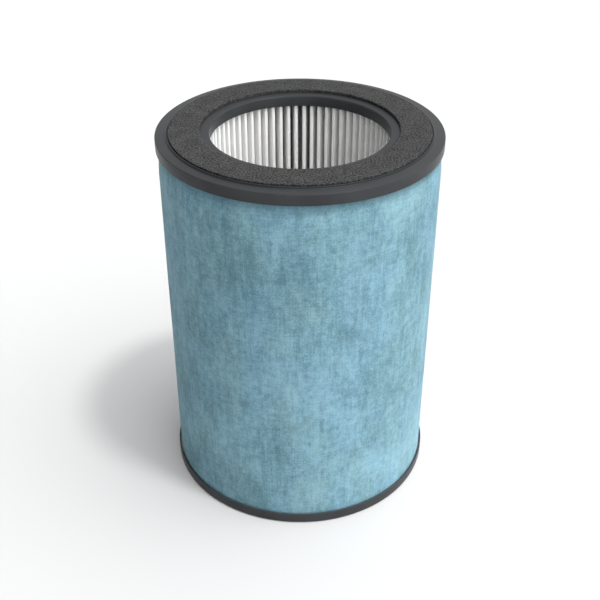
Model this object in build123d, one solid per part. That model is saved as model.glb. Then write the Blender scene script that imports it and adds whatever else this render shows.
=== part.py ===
from build123d import *
import math
import os

# Air purifier filter: a drum of pleated paper in a cloth wrap, between an open and a closed end cap.
# It stands on the closed cap, and air leaves upwards through the open cap's collar.
# Millimetres, +Z up along the drum's axis, origin where that axis meets the floor.

# Overall sizes
flange_height = 360.0  # floor to the open cap's flange
cloth_radius = 128.6  # outside of the cloth wrap
pleat_depth = 44.3  # of the paper's folds, from the cloth towards the axis

# Moulded end caps
skirt_depth = 10.3  # outer skirt and collar, along the axis
wall = 1.3  # skirts, collars and lip
plate_thickness = 1.8
open_skirt_clearance = 0.1  # cloth to the open cap's skirt
closed_skirt_clearance = 0.9  # cloth to the closed cap's skirt, wider to let the pack drop in
flange_bevel = 0.9  # outer edge of the open cap
foot_bevel = 1.8  # outer edge of the closed cap

# Gasket seat of the open cap
flange_width = 9.8  # open cap's outer edge to its lip
lip_height = 1.8  # above the flange
ledge_width = 8.35  # bare part of the flange, from the collar bore to the gasket
ledge_bevel = 1.5  # from the ledge down into the collar

# Gasket
gasket_thickness = 3.0
gasket_clearance = 0.1  # to the lip

# Closed cap's middle panel
panel_recess = 3.0  # floor to the underside of the panel

# Pleats
pleat_count = 70
paper_thickness = 0.8
fold_half_width = 1.7  # every fold, over both its panels
crown_height = 0.5  # rounded tip of the inner folds; the cloth presses the outer ones flat
collar_clearance = 0.55  # collar to the inner folds
cloth_clearance = 0.1  # outer folds to the cloth

# Cloth wrap
cloth_thickness = 1.0
seam_width = 10.0  # welded lap at the back
seam_press = 0.4  # depth that the weld presses it

# Cured adhesive
adhesive_depth = 3.0

# Radii and heights that follow
cloth_inside = cloth_radius - cloth_thickness
outer_fold_reach = cloth_inside - cloth_clearance
inner_fold_reach = outer_fold_reach - pleat_depth
collar_outside = inner_fold_reach - collar_clearance
collar_radius = collar_outside - wall  # clear way through the open cap
open_skirt_inside = cloth_radius + open_skirt_clearance
open_skirt_outside = open_skirt_inside + wall
closed_skirt_inside = cloth_radius + closed_skirt_clearance
closed_skirt_outside = closed_skirt_inside + wall
lip_outside = open_skirt_outside - flange_width
lip_inside = lip_outside - wall
lip_top = flange_height + lip_height
open_skirt_foot = flange_height - skirt_depth
flange_underside = flange_height - plate_thickness
panel_top = panel_recess + plate_thickness
media_foot = plate_thickness + adhesive_depth
media_top = flange_underside - adhesive_depth
media_height = media_top - media_foot


def ring(*corners):
    """A body turned about the axis. A corner is its radius and its height."""
    return revolve(make_face(Polyline([(radius, 0, height) for radius, height in corners], close=True)), Axis.Z)


def tube(inside, outside, foot, top):
    return ring((inside, foot), (outside, foot), (outside, top), (inside, top))


def top_end_cap():
    """Ring channel: a flange with the gasket's lip on top, a skirt outside and a collar inside."""
    return ring(
        (open_skirt_outside, open_skirt_foot),
        (open_skirt_outside, flange_height - flange_bevel),
        (open_skirt_outside - flange_bevel, flange_height),
        (lip_outside, flange_height),
        (lip_outside, lip_top),
        (lip_inside, lip_top),
        (lip_inside, flange_height),
        (collar_radius + ledge_bevel, flange_height),
        (collar_radius, flange_height - ledge_bevel),
        (collar_radius, open_skirt_foot),
        (collar_outside, open_skirt_foot),
        (collar_outside, flange_underside),
        (open_skirt_inside, flange_underside),
        (open_skirt_inside, open_skirt_foot),
    )


def top_gasket():
    """Foam ring that lies on the flange, inside the lip."""
    inside = collar_radius + ledge_width
    outside = lip_inside - gasket_clearance
    return tube(inside, outside, flange_height, flange_height + gasket_thickness)


def bottom_end_cap():
    """Pan with a skirt, a collar and a closed middle panel, raised so that it stands on the ring round it."""
    return ring(
        (0, panel_recess),
        (collar_radius, panel_recess),
        (collar_radius, 0),
        (closed_skirt_outside - foot_bevel, 0),
        (closed_skirt_outside, foot_bevel),
        (closed_skirt_outside, skirt_depth),
        (closed_skirt_inside, skirt_depth),
        (closed_skirt_inside, plate_thickness),
        (collar_outside, plate_thickness),
        (collar_outside, skirt_depth),
        (collar_radius, skirt_depth),
        (collar_radius, panel_top),
        (0, panel_top),
    )


def mirrored(point, direction):
    """The point's image across the line through the axis that runs in the direction."""
    return direction * (2 * point.dot(direction)) - point


def along_panel(start, end, direction, reach):
    """Where the panel face through start and end is as far from the axis, in the direction, as reach."""
    step = end - start
    return start + step * ((reach - start.dot(direction)) / step.dot(direction))


def fold_line(side):
    """Closed line of one face of the paper: side is 1 for the face towards the cloth, -1 for the other."""
    half_pitch = 180 / pleat_count
    inner = Vector(1, 0)
    outer = inner.rotate(Axis.Z, half_pitch)
    next_inner = inner.rotate(Axis.Z, 2 * half_pitch)
    inner_centre = inner * (inner_fold_reach + fold_half_width)
    outer_centre = outer * (outer_fold_reach - fold_half_width)

    # The middle of a panel crosses between the folds, tangent to a circle about each of their centres.
    span = outer_centre - inner_centre
    middle = fold_half_width - paper_thickness / 2
    across = span.normalized().rotate(Axis.Z, math.degrees(math.acos(2 * middle / span.length)))
    near = inner_centre + across * (middle - side * paper_thickness / 2)
    far = outer_centre - across * (middle + side * paper_thickness / 2)

    # Every fold is pressed flat, apart from the crowned tips that face the axis.
    inner_depth = paper_thickness if side > 0 else crown_height
    outer_depth = 0 if side > 0 else paper_thickness
    start = along_panel(near, far, inner, inner_fold_reach + inner_depth)
    end = along_panel(near, far, outer, outer_fold_reach - outer_depth)
    end_mirrored = mirrored(end, outer)
    start_mirrored = mirrored(start, outer)
    next_start = start.rotate(Axis.Z, 2 * half_pitch)
    if side > 0:
        inner_fold = Line(start_mirrored, next_start)
    else:
        inner_fold = ThreePointArc(start_mirrored, next_inner * inner_fold_reach, next_start)
    pleat = [Line(start, end), Line(end, end_mirrored), Line(end_mirrored, start_mirrored), inner_fold]
    return [place * edge for place in PolarLocations(0, pleat_count) for edge in pleat]


def pleated_media():
    """Accordion of paper, closed into a drum, with its two ends in the adhesive's faces."""
    section = make_face(fold_line(1)) - make_face(fold_line(-1))
    return extrude(Pos(0, 0, media_foot) * section, amount=media_height)


def outer_wrap():
    """Cloth tube round the pleats, with its welded lap pressed thinner at the back."""
    weld = tube(cloth_radius - seam_press, cloth_radius + seam_press, media_foot, media_top) & (
        Pos(0, cloth_radius, media_foot + media_height / 2) * Box(seam_width, cloth_radius, media_height)
    )
    return tube(cloth_inside, cloth_radius, media_foot, media_top) - weld


def top_potting_ring():
    """Adhesive under the top of the open cap's channel."""
    return tube(collar_outside, open_skirt_inside, media_top, flange_underside)


def bottom_potting_ring():
    """Adhesive on the floor of the closed cap's channel."""
    return tube(collar_outside, closed_skirt_inside, plate_thickness, media_foot)


makers = [
    top_end_cap,
    top_gasket,
    pleated_media,
    outer_wrap,
    bottom_end_cap,
    top_potting_ring,
    bottom_potting_ring,
]

os.makedirs("parts", exist_ok=True)
for maker in makers:
    export_step(maker(), f"parts/{maker.__name__}.step")
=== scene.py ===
import math
import random

import bmesh
import bpy
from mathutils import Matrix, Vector, noise


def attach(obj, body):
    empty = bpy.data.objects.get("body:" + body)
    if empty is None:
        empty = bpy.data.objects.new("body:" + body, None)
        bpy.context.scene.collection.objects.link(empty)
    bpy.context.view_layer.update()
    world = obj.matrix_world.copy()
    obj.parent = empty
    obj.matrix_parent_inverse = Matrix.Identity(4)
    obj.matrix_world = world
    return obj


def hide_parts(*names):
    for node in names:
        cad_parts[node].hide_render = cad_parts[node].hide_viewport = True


# An air purifier filter that stands on its closed cap. Lengths are in metres, +Z is up along the drum's axis,
# the photograph looks from -Y, and the cloth's welded lap is at +Y.
MM = 0.001

# Moulded caps, as radii and heights from the floor
FLANGE_HEIGHT = 360 * MM
SKIRT_DEPTH = 10.3 * MM
WALL = 1.3 * MM
PLATE = 1.8 * MM
COLLAR_RADIUS = 81.35 * MM
OPEN_CAP_RADIUS = 130 * MM
CLOSED_CAP_RADIUS = 130.8 * MM
CLOSED_CAP_TOP = 11.3 * MM
LIP_RADIUS = 120.2 * MM
LIP_HEIGHT = 1.8 * MM
PANEL_RECESS = 3 * MM
CRISP = 0.35 * MM  # rounding of an edge that looks sharp
AROUND = 240  # sides of a round moulding

# Foam ring
FOAM_INSIDE = 89.8 * MM
FOAM_OUTSIDE = 118.7 * MM
FOAM_TOP = 363 * MM

# Paper and cloth, between the adhesive in the two caps
MEDIA_FOOT = 4.8 * MM
MEDIA_TOP = 355.2 * MM
MEDIA_HEIGHT = MEDIA_TOP - MEDIA_FOOT
PLEATS = 70
PAPER = 0.7 * MM
INNER_TIP = 83.2 * MM
OUTER_TIP = 127.4 * MM
FOLD_WIDTH = 3.0 * MM  # across a fold, over both of its panels
CLOTH_RADIUS = 128.6 * MM
CLOTH = 0.9 * MM
LAP_WIDTH = 10 * MM  # welded lap at the back
LAP_PRESS = 0.4 * MM


def srgb(red, green, blue):
    """A colour as a screen shows it, 0 to 255, turned to light."""
    parts = [value / 255 for value in (red, green, blue)]
    return [part / 12.92 if part <= 0.04045 else ((part + 0.055) / 1.055) ** 2.4 for part in parts] + [1]


class Wire:
    """A shader socket that arithmetic works on."""

    def __init__(self, paint, socket):
        self.paint = paint
        self.socket = socket

    def maths(self, operation, *values):
        return self.paint.node("ShaderNodeMath", dict(enumerate((self, *values))), operation=operation)

    def __add__(self, other):
        return self.maths("ADD", other)

    def __sub__(self, other):
        return self.maths("SUBTRACT", other)

    def __rsub__(self, other):
        return self * -1 + other

    def __mul__(self, other):
        return self.maths("MULTIPLY", other)

    def __abs__(self):
        return self.maths("ABSOLUTE")

    __radd__ = __add__
    __rmul__ = __mul__

    def above(self, low, high):
        """0 under low, 1 over high and a smooth step between."""
        return self.paint.node("ShaderNodeMapRange", {0: self, 1: low, 2: high}, interpolation_type="SMOOTHSTEP")


class Paint:
    """The nodes of one finish, or of the world."""

    def __init__(self, name, owners="materials"):
        self.owner = getattr(bpy.data, owners).new(name)
        self.owner.use_nodes = True
        self.tree = self.owner.node_tree

    def node(self, kind, inputs=None, output=0, **settings):
        """Adds a node: its settings first, then the values or wires of its sockets."""
        node = self.tree.nodes.new(kind)
        for name, value in settings.items():
            setattr(node, name, value)
        for socket, value in (inputs or {}).items():
            self.feed(node.inputs[socket], value)
        return Wire(self, node.outputs[output])

    def feed(self, socket, value):
        if isinstance(value, Wire):
            self.tree.links.new(value.socket, socket)
        else:
            socket.default_value = value

    def coat(self, **sockets):
        """Sets the finish's own sockets and returns the material."""
        for name, value in sockets.items():
            self.feed(self.tree.nodes["Principled BSDF"].inputs[name.replace("_", " ")], value)
        return self.owner

    def place(self):
        """Where a point is on the object."""
        return self.node("ShaderNodeTexCoord", output="Object")

    def distances(self):
        """How far a point is to the right of the axis, behind it and above the floor, as three wires."""
        split = self.node("ShaderNodeSeparateXYZ", {"Vector": self.place()})
        return [Wire(self, socket) for socket in split.socket.node.outputs]

    def cloud(self, size, detail=3, roughness=0.5, stretch=(1, 1, 1), shift=0):
        """Noise whose blots are about size across, in metres."""
        place = self.node(
            "ShaderNodeMapping", {"Vector": self.place(), "Scale": stretch, "Location": (shift, shift, shift)}
        )
        sockets = {"Vector": place, "Scale": 1 / size, "Detail": detail, "Roughness": roughness}
        return self.node("ShaderNodeTexNoise", sockets)

    def mix(self, factor, first, second):
        """The first colour where factor is 0, the second where it is 1."""
        return self.node("ShaderNodeMix", {0: factor, 6: first, 7: second}, output=2, data_type="RGBA")

    def relief(self, height, depth):
        """A bump whose full height stands depth proud, in metres."""
        return self.node("ShaderNodeBump", {"Height": height, "Distance": depth})

    def seen(self, lighting, pictured):
        """Lights the scene with the first shader and shows the second to the camera and in reflections."""
        rays = self.node("ShaderNodeLightPath").socket.node.outputs
        camera, glossy, through = (Wire(self, rays[f"Is {kind} Ray"]) for kind in ("Camera", "Glossy", "Transmission"))
        mixed = self.node("ShaderNodeMixShader", {0: camera + glossy + through, 1: lighting, 2: pictured})
        output = next(node for node in self.tree.nodes if node.bl_idname.startswith("ShaderNodeOutput"))
        self.feed(output.inputs["Surface"], mixed)


def moulded_plastic():
    """Charcoal plastic with a satin grain and faint clouds. Its sides are painted lighter than its tops, a painted
    reflection of the bright floor that also puts a painted highlight on the lower half of each rounded top edge, and
    the ledge inside the gasket is painted darker as painted shade.
    """
    paint = Paint("charcoal moulded plastic")
    across, back, up = paint.distances()
    # Painted reflection: the skirts and the lower half of each rounded top edge take a lighter colour than the tops,
    # as if lit by the bright floor.
    painted_top_shade = up.above(FLANGE_HEIGHT - 1 * MM, FLANGE_HEIGHT)
    reach = (across * across + back * back).maths("SQRT")
    # Painted shade: the ledge between the gasket and the collar is painted darker than the rest of the flange.
    ledge_painted_shade = 1 - reach.above(FOAM_INSIDE, FOAM_INSIDE + 5 * MM)
    flow = paint.cloud(30 * MM, detail=4)
    grain = paint.cloud(0.5 * MM, detail=2)
    patches = flow.above(0.3, 0.7)
    sides_with_painted_sheen = paint.mix(patches, srgb(54, 56, 58), srgb(61, 63, 65))
    flange = paint.mix(patches, srgb(38, 40, 42), srgb(42, 44, 46))
    flange = paint.mix(ledge_painted_shade, flange, srgb(33, 35, 37))
    return paint.coat(
        Base_Color=paint.mix(painted_top_shade, sides_with_painted_sheen, flange),
        Roughness=0.3 + flow * 0.12,
        Specular_IOR_Level=0.1,
        Normal=paint.relief(grain, 0.04 * MM),
    )


def open_cell_foam():
    """Grey foam, speckled by its open cells."""
    paint = Paint("grey open-cell foam")
    cells = paint.cloud(1.5 * MM, detail=3, roughness=0.65)
    patches = paint.cloud(14 * MM, detail=2)
    tone = cells.above(0.36, 0.64) * 0.85 + patches.above(0.3, 0.7) * 0.15
    return paint.coat(
        Base_Color=paint.mix(tone, srgb(18, 18, 19), srgb(74, 74, 74)),
        Roughness=0.95,
        Specular_IOR_Level=0.1,
        Normal=paint.relief(cells, 0.28 * MM),
    )


def filter_paper():
    """White pleated paper with long fibres."""
    paint = Paint("white filter paper")
    fibres = paint.cloud(0.8 * MM, detail=3, roughness=0.6, stretch=(1, 1, 0.3))
    specks = paint.cloud(1.6 * MM, detail=1, shift=3)
    pulp = paint.mix(fibres, srgb(244, 244, 243), srgb(255, 255, 254))
    return paint.coat(
        Base_Color=paint.mix(specks.above(0.72, 0.8) * 0.4, pulp, srgb(196, 194, 188)),
        Roughness=0.9,
        Specular_IOR_Level=0.2,
        Normal=paint.relief(fibres, 0.08 * MM),
    )


def wrap_cloth():
    """Teal non-woven cloth: clouds of teal, a fine felted grain, faint threads, a welded lap at the back and painted
    shade under the open cap's skirt.
    """
    paint = Paint("teal non-woven cloth")
    drifts = paint.cloud(80 * MM, detail=1, stretch=(1, 1, 0.8))
    clouds = paint.cloud(24 * MM, detail=2, stretch=(1, 1, 0.6), shift=5)
    streaks = paint.cloud(5 * MM, detail=2, stretch=(1, 1, 0.12), shift=21)
    tufts = paint.cloud(5 * MM, detail=3, roughness=0.6, stretch=(1, 1, 0.7), shift=9)
    threads = paint.cloud(1.6 * MM, detail=2, stretch=(1, 1, 0.06), shift=2)
    weft = paint.cloud(1.8 * MM, detail=1, stretch=(0.1, 0.1, 1), shift=7)
    felt = paint.cloud(1.3 * MM, detail=2, roughness=0.6)

    # Each layer moves the tone about its middle by its own share.
    tone = 0.5
    layers = [(drifts, 0.6), (clouds, 0.55), (streaks, 0.3), (tufts, 0.65), (threads, 0.3), (weft, 0.25), (felt, 0.75)]
    for layer, share in layers:
        tone = tone + (layer - 0.5) * share
    tone = tone.above(0, 1)
    warmth = paint.cloud(38 * MM, detail=4, stretch=(1, 1, 0.6), shift=31).above(0.35, 0.65)
    cool = paint.mix(tone, srgb(82, 120, 134), srgb(139, 180, 198))
    warm = paint.mix(tone, srgb(84, 121, 130), srgb(142, 181, 193))
    dye_and_painted_shade = paint.mix(warmth, cool, warm)
    stains = paint.cloud(7 * MM, detail=4, roughness=0.6, stretch=(1, 1, 0.5), shift=13).above(0.6, 0.74)
    dye_and_painted_shade = paint.mix(stains * 0.35, dye_and_painted_shade, srgb(97, 118, 110))

    # Painted shade: a darker band on the cloth just under the open cap's skirt, where the skirt's overhang shades it;
    # and rows of weld points along the pressed lap at the back
    across, back, up = paint.distances()
    # Painted shade under the skirt: the cloth's colour darkens towards the open cap.
    dye_and_painted_shade = paint.mix(up.above(337 * MM, 349 * MM) * 0.4, dye_and_painted_shade, srgb(68, 96, 108))
    on_lap = (LAP_WIDTH / 2 - abs(across)).above(0, 0.4 * MM) * back.above(0, 100 * MM)
    wave = 2 * math.pi / (2.5 * MM)
    points = (across * wave).maths("COSINE") * (up * wave).maths("COSINE")
    dents = points.above(0.1, 0.6) * on_lap
    dye_and_painted_shade = paint.mix(dents * 0.25, dye_and_painted_shade, srgb(78, 109, 121))
    return paint.coat(
        Base_Color=dye_and_painted_shade,
        Roughness=0.95,
        Specular_IOR_Level=0.15,
        Sheen_Weight=0.05,
        Normal=paint.relief(felt * 0.5 + tufts * 0.4 + threads * 0.3 - dents * 1.5, 0.25 * MM),
    )


def cured_adhesive():
    """Pale hot-melt adhesive with slow ripples."""
    paint = Paint("cured adhesive")
    ripples = paint.cloud(9 * MM, detail=2)
    return paint.coat(
        Base_Color=paint.mix(ripples, srgb(214, 208, 190), srgb(226, 222, 206)),
        Roughness=0.3 + ripples * 0.2,
        Normal=paint.relief(ripples, 0.6 * MM),
    )


def adopt(name):
    """The object just added becomes a piece with its place in its mesh."""
    piece = bpy.context.object
    piece.name = piece.data.name = name
    bpy.ops.object.transform_apply(location=True, rotation=True, scale=True)
    return piece


def pick(piece, wanted):
    """In edit mode, selects the edges that wanted says yes to."""
    bpy.ops.mesh.select_mode(type="EDGE")
    bpy.ops.mesh.select_all(action="DESELECT")
    mesh = bmesh.from_edit_mesh(piece.data)
    for edge in mesh.edges:
        if wanted(edge):
            edge.select_set(True)
    bmesh.update_edit_mesh(piece.data)


def on_ring(radius, height):
    """A test for edges that run round the axis at that radius and height."""
    near = 0.02 * MM

    def wanted(edge):
        return all(
            abs(corner.co.z - height) < near and abs(corner.co.xy.length - radius) < near for corner in edge.verts
        )

    return wanted


def upright(reach, side):
    """A test for edges that stand at that reach along X, that far to either side."""
    near = 0.02 * MM

    def wanted(edge):
        one, other = (corner.co for corner in edge.verts)
        return all(abs(corner.x - reach) < near and abs(abs(corner.y) - side) < near for corner in (one, other)) and (
            abs(one.y - other.y) < near
        )

    return wanted


def cut(place, normal):
    """In edit mode, cuts all faces along a plane."""
    bpy.ops.mesh.select_all(action="SELECT")
    bpy.ops.mesh.bisect(plane_co=place, plane_no=normal)


def thicken(piece, thickness, offset):
    """Makes a wall of a shell: to its inside where offset is -1, half to each side where it is 0."""
    bpy.ops.object.modifier_add(type="SOLIDIFY")
    wall = piece.modifiers[-1]
    wall.thickness = thickness
    wall.offset = offset
    bpy.ops.object.modifier_apply(modifier=wall.name)


def turned(name, corners, capped=False):
    """A moulding turned about the axis. A corner is its radius, its height and its rounding.

    The last ring is bridged to the first, or both are filled where the moulding is capped.
    """
    radius, height, _ = corners[0]
    bpy.ops.object.select_all(action="DESELECT")
    bpy.ops.mesh.primitive_circle_add(vertices=AROUND, radius=radius, location=(0, 0, height))
    piece = adopt(name)
    bpy.ops.object.mode_set(mode="EDIT")
    bpy.ops.mesh.select_all(action="SELECT")
    for next_radius, next_height, _ in corners[1:]:
        bpy.ops.mesh.extrude_region_move(TRANSFORM_OT_translate={"value": (0, 0, next_height - height)})
        widening = next_radius / radius
        bpy.ops.transform.resize(value=(widening, widening, 1), center_override=(0, 0, 0))
        radius, height = next_radius, next_height
    first = on_ring(*corners[0][:2])
    last = on_ring(radius, height)
    if capped:
        for end in (first, last):
            pick(piece, end)
            bpy.ops.mesh.edge_face_add()
    else:
        pick(piece, lambda edge: first(edge) or last(edge))
        bpy.ops.mesh.bridge_edge_loops()
    for radius, height, rounding in corners:
        if rounding:
            pick(piece, on_ring(radius, height))
            bpy.ops.mesh.bevel(offset=rounding, segments=4, affect="EDGES")
    bpy.ops.mesh.select_all(action="SELECT")
    bpy.ops.mesh.normals_make_consistent(inside=False)
    bpy.ops.object.mode_set(mode="OBJECT")
    bpy.ops.object.shade_smooth_by_angle(angle=math.radians(35))
    return piece


def finished(piece, node, material):
    """Gives the piece its finish, hangs it under the root body and hides the CAD part that it replaces."""
    piece.data.materials.clear()
    piece.data.materials.append(material)
    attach(piece, "root")
    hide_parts(node)


def open_cap(material):
    """Ring channel: a flange with the gasket's lip on top, a skirt outside and a collar inside."""
    skirt_foot = FLANGE_HEIGHT - SKIRT_DEPTH
    lip_top = FLANGE_HEIGHT + LIP_HEIGHT
    underside = FLANGE_HEIGHT - PLATE
    corners = [
        (OPEN_CAP_RADIUS, skirt_foot, CRISP),
        (OPEN_CAP_RADIUS, FLANGE_HEIGHT, 1.0 * MM),
        (LIP_RADIUS, FLANGE_HEIGHT, 1.2 * MM),
        (LIP_RADIUS, lip_top, 0.55 * MM),
        (LIP_RADIUS - WALL, lip_top, 0.55 * MM),
        (LIP_RADIUS - WALL, FLANGE_HEIGHT, 0),
        (COLLAR_RADIUS, FLANGE_HEIGHT, 1.3 * MM),
        (COLLAR_RADIUS, skirt_foot, CRISP),
        (COLLAR_RADIUS + WALL, skirt_foot, CRISP),
        (COLLAR_RADIUS + WALL, underside, 0),
        (OPEN_CAP_RADIUS - WALL, underside, 0),
        (OPEN_CAP_RADIUS - WALL, skirt_foot, CRISP),
    ]
    finished(turned("open_cap_moulding", corners), "top_end_cap", material)


def closed_cap(material):
    """Pan with a skirt and a collar, and a middle panel raised off the floor."""
    panel_top = PANEL_RECESS + PLATE
    middle = 6 * MM  # radius of the flat faces that close the panel
    corners = [
        (middle, PANEL_RECESS, 0),
        (COLLAR_RADIUS, PANEL_RECESS, 0.6 * MM),
        (COLLAR_RADIUS, 0, 0.8 * MM),
        (CLOSED_CAP_RADIUS, 0, 2 * MM),
        (CLOSED_CAP_RADIUS, CLOSED_CAP_TOP, 0.5 * MM),
        (CLOSED_CAP_RADIUS - WALL, CLOSED_CAP_TOP, 0.5 * MM),
        (CLOSED_CAP_RADIUS - WALL, PLATE, 0),
        (COLLAR_RADIUS + WALL, PLATE, 0),
        (COLLAR_RADIUS + WALL, SKIRT_DEPTH, CRISP),
        (COLLAR_RADIUS, SKIRT_DEPTH, CRISP),
        (COLLAR_RADIUS, panel_top, 0.8 * MM),
        (middle, panel_top, 0),
    ]
    finished(turned("closed_cap_moulding", corners, capped=True), "bottom_end_cap", material)


def foam_ring(material):
    """Die-cut foam ring, soft at its edges, not quite level, and laid a little towards the back."""
    width = FOAM_OUTSIDE - FOAM_INSIDE
    strips = 6  # of the ring's top
    top = [(FOAM_OUTSIDE - width * step / strips, FOAM_TOP, 0) for step in range(1, strips)]
    corners = [
        (FOAM_OUTSIDE, FLANGE_HEIGHT, 0),
        (FOAM_OUTSIDE, FOAM_TOP, 0.5 * MM),
        *top,
        (FOAM_INSIDE, FOAM_TOP, 1.2 * MM),
        (FOAM_INSIDE, FLANGE_HEIGHT, 0),
    ]
    piece = turned("foam_gasket", corners)
    dip = 0.12 * MM
    trimmed = 0.4 * MM  # off the outer edge
    moved = 0.4 * MM  # the whole ring
    hole_moved = 1.3 * MM  # the hole, as well as the ring
    for corner in piece.data.vertices:
        if corner.co.z > FLANGE_HEIGHT + 1 * MM:
            corner.co.z -= dip * (1 + noise.noise(corner.co * 90))
        inwards = (FOAM_OUTSIDE - corner.co.xy.length) / width
        corner.co.xy *= 1 - trimmed * (1 - inwards) / FOAM_OUTSIDE
        corner.co.y += moved + hole_moved * inwards
    finished(piece, "top_gasket", material)


def tucked(height):
    """How many millimetres the cloth and the folds behind it are drawn in towards the open cap."""
    start, run, most = 330 * MM, 16 * MM, 1.6
    return most * min(1, max(0, (height - start) / run))


def pleated_paper(material):
    """One fold is drawn, rounded and copied round the axis; the folds then stray a little and get their thickness."""
    half_pitch = math.pi / PLEATS
    half_fold = (FOLD_WIDTH - PAPER) / 2
    inner = INNER_TIP + PAPER / 2
    outer = OUTER_TIP - PAPER / 2
    middle = (MEDIA_FOOT + MEDIA_TOP) / 2
    bpy.ops.object.select_all(action="DESELECT")
    bpy.ops.mesh.primitive_plane_add(size=1, location=(inner, 0, middle), rotation=(0, math.pi / 2, 0))
    piece = adopt("pleated_paper")
    bpy.ops.object.mode_set(mode="EDIT")
    bpy.ops.mesh.select_all(action="SELECT")
    bpy.ops.transform.resize(value=(1, 2 * half_fold, MEDIA_HEIGHT), center_override=(inner, 0, middle))

    # Both panels are drawn out from the inner fold to halfway along the outer ones.
    reach, side = inner, half_fold
    outwards_x, outwards_y = math.cos(half_pitch), math.sin(half_pitch)
    outer_bend = (outer * outwards_x + half_fold * outwards_y, outer * outwards_y - half_fold * outwards_x)
    outer_middle = (outer * outwards_x, outer * outwards_y)
    for next_reach, next_side in (outer_bend, outer_middle):
        pick(piece, upright(reach, side))
        bpy.ops.mesh.extrude_region_move(TRANSFORM_OT_translate={"value": (next_reach - reach, 0, 0)})
        bpy.ops.transform.resize(value=(1, next_side / side, 1), center_override=(0, 0, 0))
        reach, side = next_reach, next_side
    for rounding, bend in ((0.6 * MM, (inner, half_fold)), (0.9 * MM, outer_bend)):
        pick(piece, upright(*bend))
        bpy.ops.mesh.bevel(offset=rounding, segments=5, affect="EDGES")
    rows, strips = 18, 4  # up the paper, and along each panel
    for step in range(1, rows):
        cut((0, 0, MEDIA_FOOT + MEDIA_HEIGHT * step / rows), (0, 0, 1))
    for step in range(1, strips):
        cut((inner + (outer - inner) * step / strips, 0, 0), (1, 0, 0))
    bpy.ops.mesh.select_all(action="SELECT")
    bpy.ops.mesh.spin(
        steps=PLEATS - 1, dupli=True, angle=2 * half_pitch * (PLEATS - 1), center=(0, 0, 0), axis=(0, 0, 1)
    )
    bpy.ops.mesh.select_all(action="SELECT")
    bpy.ops.mesh.remove_doubles(threshold=0.01 * MM)
    bpy.ops.mesh.normals_make_consistent(inside=False)
    bpy.ops.object.mode_set(mode="OBJECT")

    # A fold strays sideways and in depth, most at its inner tip, and its panels bow, all in millimetres.
    random.seed(70)
    strays = [(random.gauss(0, 0.16), random.uniform(-0.5, 0.2)) for _ in range(PLEATS)]
    for corner in piece.data.vertices:
        angle = math.atan2(corner.co.y, corner.co.x)
        fold = round(angle / (2 * half_pitch)) % PLEATS
        loose = (outer - corner.co.xy.length) / (outer - inner)
        outwards = Vector((math.cos(angle), math.sin(angle), 0))
        sideways = Vector((-outwards.y, outwards.x, 0))
        wander = 0.25 * noise.noise(Vector((fold * 3.7, 0, corner.co.z * 14)))
        bow = 0.5 * noise.noise(Vector((fold * 1.9, corner.co.xy.length * 40, corner.co.z * 22)))
        aside, deep = strays[fold]
        corner.co += sideways * MM * (loose * (aside + wander) + loose * (1 - loose) * bow)
        corner.co += outwards * MM * (loose * -0.35 * deep - (1 - loose) * tucked(corner.co.z))
    thicken(piece, PAPER, offset=0)
    bpy.ops.object.shade_smooth_by_angle(angle=math.radians(50))
    finished(piece, "pleated_media", material)


def cloth_wrap(material):
    """Cloth drawn tight round the folds, which show through a little, with its lap pressed in at the back."""
    bpy.ops.object.select_all(action="DESELECT")
    bpy.ops.mesh.primitive_cylinder_add(
        vertices=PLEATS * 6,
        radius=CLOTH_RADIUS,
        depth=MEDIA_HEIGHT,
        end_fill_type="NOTHING",
        location=(0, 0, MEDIA_FOOT + MEDIA_HEIGHT / 2),
    )
    piece = adopt("cloth_wrap")
    bpy.ops.object.mode_set(mode="EDIT")
    rows = 36
    for step in range(1, rows):
        cut((0, 0, MEDIA_FOOT + MEDIA_HEIGHT * step / rows), (0, 0, 1))
    for side in (-1, 1):
        for inset in (0, 0.3 * MM):
            pick(piece, lambda edge: all(corner.co.y > 120 * MM for corner in edge.verts))
            bpy.ops.mesh.select_mode(type="FACE")
            bpy.ops.mesh.bisect(plane_co=(side * (LAP_WIDTH / 2 - inset), 0, 0), plane_no=(1, 0, 0))
    bpy.ops.object.mode_set(mode="OBJECT")

    # The caps hold the cloth, which is free from a run of 30 mm past them, and there shows folds and sags.
    held_foot, held_top, run = 12 * MM, 348 * MM, 30 * MM
    for corner in piece.data.vertices:
        angle = math.atan2(corner.co.y, corner.co.x)
        free = min(1, max(0, (corner.co.z - held_foot) / run), max(0, (held_top - corner.co.z) / run))
        folds = 0.05 * math.cos(PLEATS * (angle - math.pi / 2))
        sag = 0.25 * noise.noise(corner.co * 11) - 0.15
        lean = MM * (free * (folds + sag) - tucked(corner.co.z))
        if corner.co.y > 0 and abs(corner.co.x) < LAP_WIDTH / 2 - 0.1 * MM:
            lean -= LAP_PRESS
        corner.co.xy *= 1 + lean / CLOTH_RADIUS
    thicken(piece, CLOTH, offset=-1)
    bpy.ops.object.shade_smooth_by_angle(angle=math.radians(35))
    finished(piece, "outer_wrap", material)


def adhesive_beds(nodes, material):
    """The adhesive in both caps keeps its plain shape."""
    for name in ("top_potting_ring", "bottom_potting_ring"):
        nodes[name].material_slots[0].material = material


def soft_light(name, azimuth, elevation, spread, energy):
    """A light that fills spread degrees of the sky, its azimuth counted from the front towards the right."""
    azimuth, elevation = math.radians(azimuth), math.radians(elevation)
    towards = Vector((
        math.sin(azimuth) * math.cos(elevation),
        -math.cos(azimuth) * math.cos(elevation),
        math.sin(elevation),
    ))
    bpy.ops.object.light_add(type="SUN", location=towards * 3, rotation=towards.to_track_quat("Z", "Y").to_euler())
    lamp = bpy.context.object
    lamp.name = name
    lamp.data.energy = energy
    lamp.data.angle = math.radians(spread)


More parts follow.
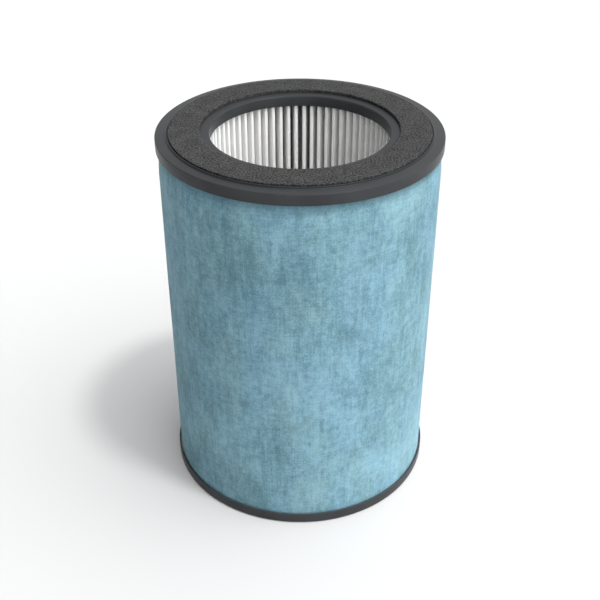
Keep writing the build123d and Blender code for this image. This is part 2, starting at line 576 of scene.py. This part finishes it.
def pale_floor():
    """Floor that shows nearly white and keeps the drum's shadow."""
    bpy.ops.object.select_all(action="DESELECT")
    bpy.ops.mesh.primitive_circle_add(vertices=96, radius=9, fill_type="NGON", location=(0, 0, -0.2 * MM))
    floor = adopt("studio_floor")
    paint = Paint("pale floor")
    paint.coat(
        Base_Color=(0.51, 0.51, 0.51, 1),
        Roughness=1,
        Specular_IOR_Level=0,
        Emission_Color=(1, 1, 1, 1),
        Emission_Strength=0.06,
    )
    plain = paint.node("ShaderNodeBsdfDiffuse", {"Color": (0.5, 0.5, 0.5, 1)})
    paint.seen(plain, Wire(paint, paint.tree.nodes["Principled BSDF"].outputs[0]))
    floor.data.materials.append(paint.owner)


def studio():
    """White surroundings, a key light between two broad soft ones, and the camera."""
    pale_floor()
    paint = Paint("white studio", "worlds")
    fill = paint.node("ShaderNodeBackground", {"Color": (0.93, 0.97, 1, 1), "Strength": 0.08})
    backdrop = paint.node("ShaderNodeBackground", {"Color": (1, 1, 1, 1)})
    paint.seen(fill, backdrop)
    bpy.context.scene.world = paint.owner

    soft_light("right_soft_light", azimuth=110, elevation=60, spread=90, energy=2.9)
    soft_light("front_soft_light", azimuth=42, elevation=45, spread=90, energy=2.55)
    soft_light("key_light", azimuth=58, elevation=69, spread=7, energy=1.55)

    # The camera looks down at the drum from in front, as fitted to the photograph's rims.
    pitch = 0.5756
    bpy.ops.object.camera_add(location=(0, -0.8165, 0.7070), rotation=(math.pi / 2 - pitch, 0, 0))
    camera = bpy.context.object
    camera.data.sensor_width = 36
    camera.data.lens = 58.375
    bpy.context.scene.camera = camera
    bpy.context.scene.view_settings.view_transform = "Standard"


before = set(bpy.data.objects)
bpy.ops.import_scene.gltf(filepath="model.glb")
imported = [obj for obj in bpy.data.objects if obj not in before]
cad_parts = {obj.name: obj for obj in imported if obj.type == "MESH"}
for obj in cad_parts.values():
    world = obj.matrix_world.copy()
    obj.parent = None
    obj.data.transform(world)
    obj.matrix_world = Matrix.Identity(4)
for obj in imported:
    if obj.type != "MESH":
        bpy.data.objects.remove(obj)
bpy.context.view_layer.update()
plastic = moulded_plastic()
studio()
open_cap(plastic)
closed_cap(plastic)
foam_ring(open_cell_foam())
pleated_paper(filter_paper())
cloth_wrap(wrap_cloth())
adhesive_beds(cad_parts, cured_adhesive())
